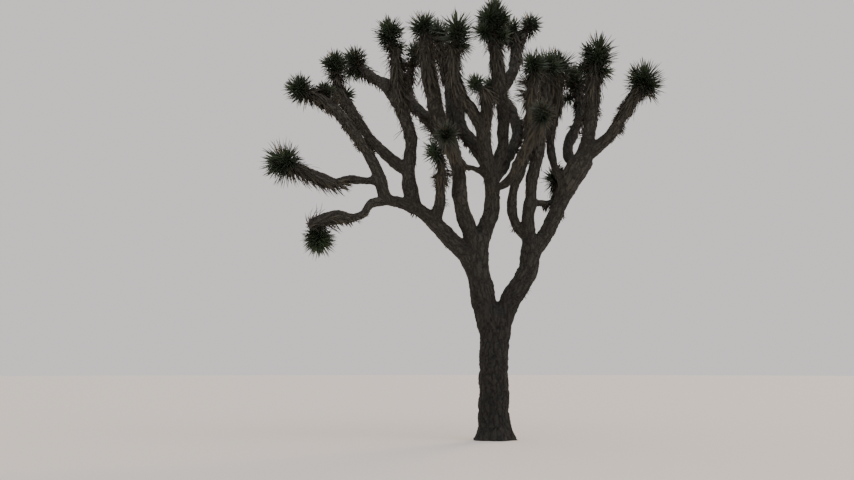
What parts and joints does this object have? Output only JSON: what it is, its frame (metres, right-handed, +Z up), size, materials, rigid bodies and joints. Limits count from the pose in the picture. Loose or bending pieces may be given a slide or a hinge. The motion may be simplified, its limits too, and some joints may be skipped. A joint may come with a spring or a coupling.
{
  "type": "joshua tree",
  "caption": "Mature joshua tree: a stout trunk that forks low, curved rising boughs, and a round head of dagger leaves at each bough's end.",
  "frame": {"origin": "middle of the flat cut under the trunk, at ground level", "axes": "+Z up; the picture looks along +Y from a little to the left of the trunk, with +X to its right"},
  "size_m": [5.9793, 3.7179, 6.8189],
  "materials": {
    "bark": "rough, furrowed",
    "foliage": "waxy, semi-matt"
  },
  "bodies": {
    "root": {"bough_back_left": "bark", "bough_back_middle": "bark", "bough_back_right": "bark", "bough_centre": "bark", "bough_centre_front": "bark", "bough_centre_inner": "bark", "bough_far_left": "bark", "bough_far_right": "bark", "bough_front_left": "bark", "bough_front_middle": "bark", "bough_front_right": "bark", "bough_inner_left": "bark", "bough_left_back": "bark", "bough_left_centre": "bark", "bough_left_crossing": "bark", "bough_left_rising": "bark", "bough_left_side": "bark", "bough_left_upright": "bark", "bough_low_left": "bark", "bough_middle": "bark", "bough_middle_fork": "bark", "bough_middle_spur": "bark", "bough_outer_left": "bark", "bough_right": "bark", "bough_right_back": "bark", "bough_right_centre": "bark", "bough_right_inner": "bark", "bough_right_spur": "bark", "bough_right_tall": "bark", "leaves_back_left": "foliage", "leaves_back_middle": "foliage", "leaves_back_right": "foliage", "leaves_centre": "foliage", "leaves_centre_front": "foliage", "leaves_centre_inner": "foliage", "leaves_far_left": "foliage", "leaves_far_right": "foliage", "leaves_front_left": "foliage", "leaves_front_middle": "foliage", "leaves_front_right": "foliage", "leaves_inner_left": "foliage", "leaves_left_back": "foliage", "leaves_left_centre": "foliage", "leaves_left_crossing": "foliage", "leaves_left_low": "foliage", "leaves_left_rising": "foliage", "leaves_left_side": "foliage", "leaves_left_upright": "foliage", "leaves_low_left": "foliage", "leaves_middle": "foliage", "leaves_middle_fork": "foliage", "leaves_middle_spur": "foliage", "leaves_right_back": "foliage", "leaves_right_centre": "foliage", "leaves_right_inner": "foliage", "leaves_right_spur": "foliage", "leaves_right_tall": "foliage", "stem_left": "bark", "stem_right": "bark", "trunk": "bark"}
  },
  "joints": []
}
